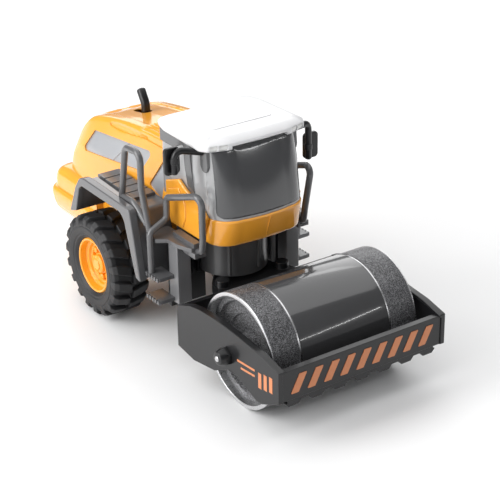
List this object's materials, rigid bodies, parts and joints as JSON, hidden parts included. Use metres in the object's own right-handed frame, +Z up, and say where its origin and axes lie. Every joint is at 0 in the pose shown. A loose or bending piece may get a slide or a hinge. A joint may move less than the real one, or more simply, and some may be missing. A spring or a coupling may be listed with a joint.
{
  "type": "toy road roller",
  "caption": "Toy road roller: articulated front frame with a rolling drum, rear hood and cab on two treaded wheels, side steps, handrails and mirrors.",
  "frame": {"origin": "on the ground, at the middle of the whole vehicle's length and width", "axes": "+X forward towards the drum, +Y to the vehicle's left, +Z up"},
  "size_m": [0.3592, 0.1576, 0.169],
  "materials": {
    "axle_steel": "bright steel rod",
    "black_plastic": "satin moulded plastic",
    "cab_plastic": "glossy moulded plastic",
    "drum_end_plastic": "grey with glitter",
    "drum_plastic": "dark metallic with glitter ends",
    "grey_plastic": "semi-gloss moulded plastic",
    "hood_plastic": "glossy moulded plastic",
    "lamp_plastic": "clear-coated plastic",
    "rim_plastic": "glossy moulded plastic",
    "roof_plastic": "glossy moulded plastic",
    "screen_plastic": "smoked glossy plastic",
    "silver_panel": "metallic satin",
    "stripe_print": "satin raised marking",
    "tyre_rubber": "matte rubber",
    "window_plastic": "smoked glossy plastic"
  },
  "bodies": {
    "chassis": {"axle_brackets": "black_plastic", "cab_base": "hood_plastic", "cab_shell": "cab_plastic", "chassis_tray": "black_plastic", "counterweight_lower": "hood_plastic", "counterweight_upper": "hood_plastic", "door_panel_l": "hood_plastic", "door_panel_r": "hood_plastic", "door_rail_l": "grey_plastic", "door_rail_r": "grey_plastic", "exhaust_pipe": "black_plastic", "fender_l": "grey_plastic", "fender_r": "grey_plastic", "fender_rail_l": "grey_plastic", "fender_rail_r": "grey_plastic", "fender_tread_l": "grey_plastic", "fender_tread_r": "grey_plastic", "hood_panel_front_l": "silver_panel", "hood_panel_front_r": "silver_panel", "hood_panel_rear_l": "silver_panel", "hood_panel_rear_r": "silver_panel", "hood_sides": "hood_plastic", "hood_top": "hood_plastic", "mirror_arm_l": "black_plastic", "mirror_arm_r": "black_plastic", "mirror_head_l": "black_plastic", "mirror_head_r": "black_plastic", "pivot_housing": "grey_plastic", "pivot_pin": "axle_steel", "platform_l": "grey_plastic", "platform_r": "grey_plastic", "quarter_windows": "window_plastic", "roof": "roof_plastic", "roof_lamps": "lamp_plastic", "side_window_l": "window_plastic", "side_window_r": "window_plastic", "step_column_l": "grey_plastic", "step_column_r": "grey_plastic", "steps_l": "grey_plastic", "steps_r": "grey_plastic", "windscreen": "screen_plastic"},
    "roller_frame": {"axle_nuts": "black_plastic", "bar_stripes": "stripe_print", "drum_axle": "axle_steel", "frame_side_l": "black_plastic", "frame_side_r": "black_plastic", "front_bar": "black_plastic", "rear_wall": "black_plastic", "scraper_comb": "black_plastic", "steering_tongue": "black_plastic"},
    "drum": {"drum_end_l": "drum_end_plastic", "drum_end_r": "drum_end_plastic", "drum_shell": "drum_plastic"},
    "rear_wheels": {"hub_cap_l": "rim_plastic", "hub_cap_r": "rim_plastic", "rear_axle": "axle_steel", "rim_l": "rim_plastic", "rim_r": "rim_plastic", "tyre_l": "tyre_rubber", "tyre_r": "tyre_rubber"}
  },
  "joints": [
    {"name": "steer", "type": "hinge", "parent": "chassis", "child": "roller_frame", "pos_m": [0.02245, 0, 0.048], "axis": [0, 0, 1], "range_deg": [-15, 15]},
    {"name": "drum_spin", "type": "hinge", "parent": "roller_frame", "child": "drum", "pos_m": [0.11935, 0, 0.0416], "axis": [0, 1, 0], "continuous": true},
    {"name": "rear_wheels_spin", "type": "hinge", "parent": "chassis", "child": "rear_wheels", "pos_m": [-0.05755, 0, 0.04], "axis": [0, 1, 0], "continuous": true}
  ]
}
